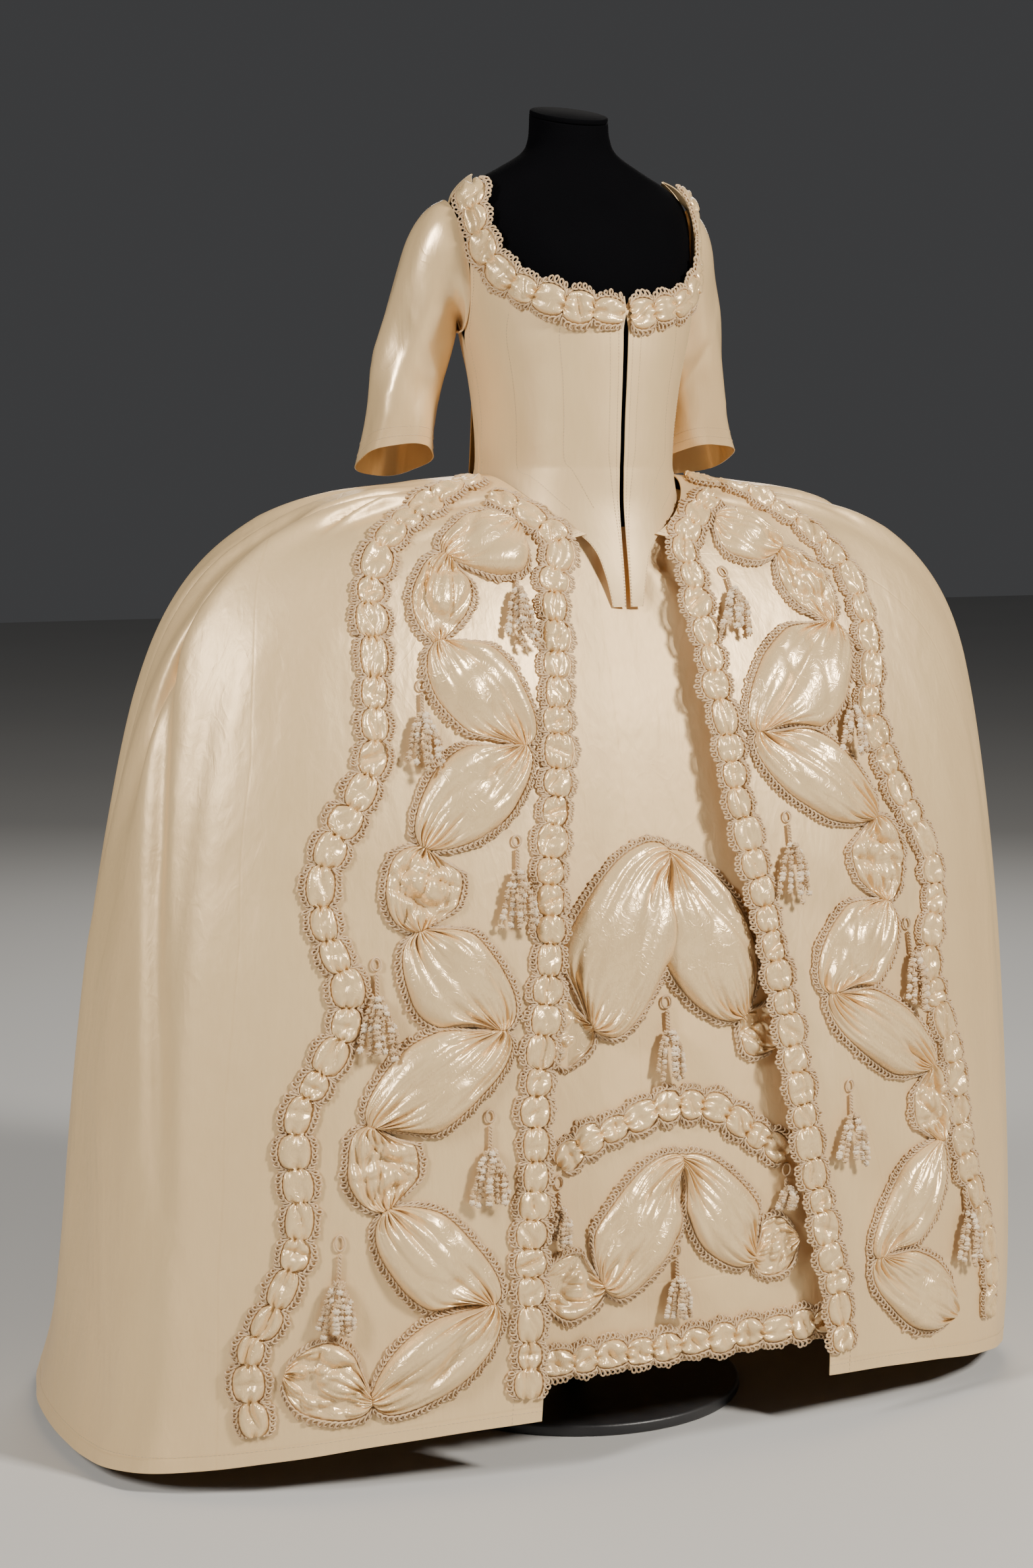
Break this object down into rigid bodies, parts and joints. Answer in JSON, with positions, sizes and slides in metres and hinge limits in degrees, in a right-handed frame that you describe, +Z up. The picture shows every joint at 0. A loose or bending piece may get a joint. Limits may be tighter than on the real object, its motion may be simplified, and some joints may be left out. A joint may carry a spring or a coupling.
{
  "type": "robe a la francaise on a dress form stand",
  "caption": "Open cream satin robe with a pleated loose back, wide hips, puffed bands, gathered festoons and tassels, over its petticoat on a limbless dress form.",
  "frame": {"origin": "on the floor, under the middle of the stand's round base", "axes": "+Z up; the wearer looks along -Y and +X is the wearer's left"},
  "size_m": [1.1946, 0.8401, 1.5155],
  "materials": {
    "cream_satin": "cream silk satin, glossy",
    "sleeve_satin": "cream silk satin, glossy",
    "fly_fringe": "knotted silk floss, matte",
    "black_jersey": "black jersey, matte",
    "black_iron": "black satin paint"
  },
  "bodies": {
    "root": {"bodice_back": "cream_satin", "bodice_left": "cream_satin", "bodice_right": "cream_satin", "edge_band_left": "cream_satin", "edge_band_right": "cream_satin", "festoon_left": "cream_satin", "festoon_right": "cream_satin", "form_base": "black_iron", "form_neck_cap": "black_jersey", "form_pole": "black_iron", "form_torso": "black_jersey", "neck_band_left": "cream_satin", "neck_band_right": "cream_satin", "outer_band_left": "cream_satin", "outer_band_right": "cream_satin", "petticoat": "cream_satin", "petticoat_arch_band": "cream_satin", "petticoat_hem_band": "cream_satin", "petticoat_lower_festoon": "cream_satin", "petticoat_upper_festoon": "cream_satin", "sack_back": "cream_satin", "skirt_left": "cream_satin", "skirt_right": "cream_satin", "sleeve_left": "sleeve_satin", "sleeve_right": "sleeve_satin", "tassel_left_1": "fly_fringe", "tassel_left_2": "fly_fringe", "tassel_left_3": "fly_fringe", "tassel_left_4": "fly_fringe", "tassel_left_5": "fly_fringe", "tassel_left_6": "fly_fringe", "tassel_petticoat_left": "fly_fringe", "tassel_petticoat_lower": "fly_fringe", "tassel_petticoat_right": "fly_fringe", "tassel_petticoat_upper": "fly_fringe", "tassel_right_1": "fly_fringe", "tassel_right_2": "fly_fringe", "tassel_right_3": "fly_fringe", "tassel_right_4": "fly_fringe", "tassel_right_5": "fly_fringe", "tassel_right_6": "fly_fringe"}
  },
  "joints": []
}
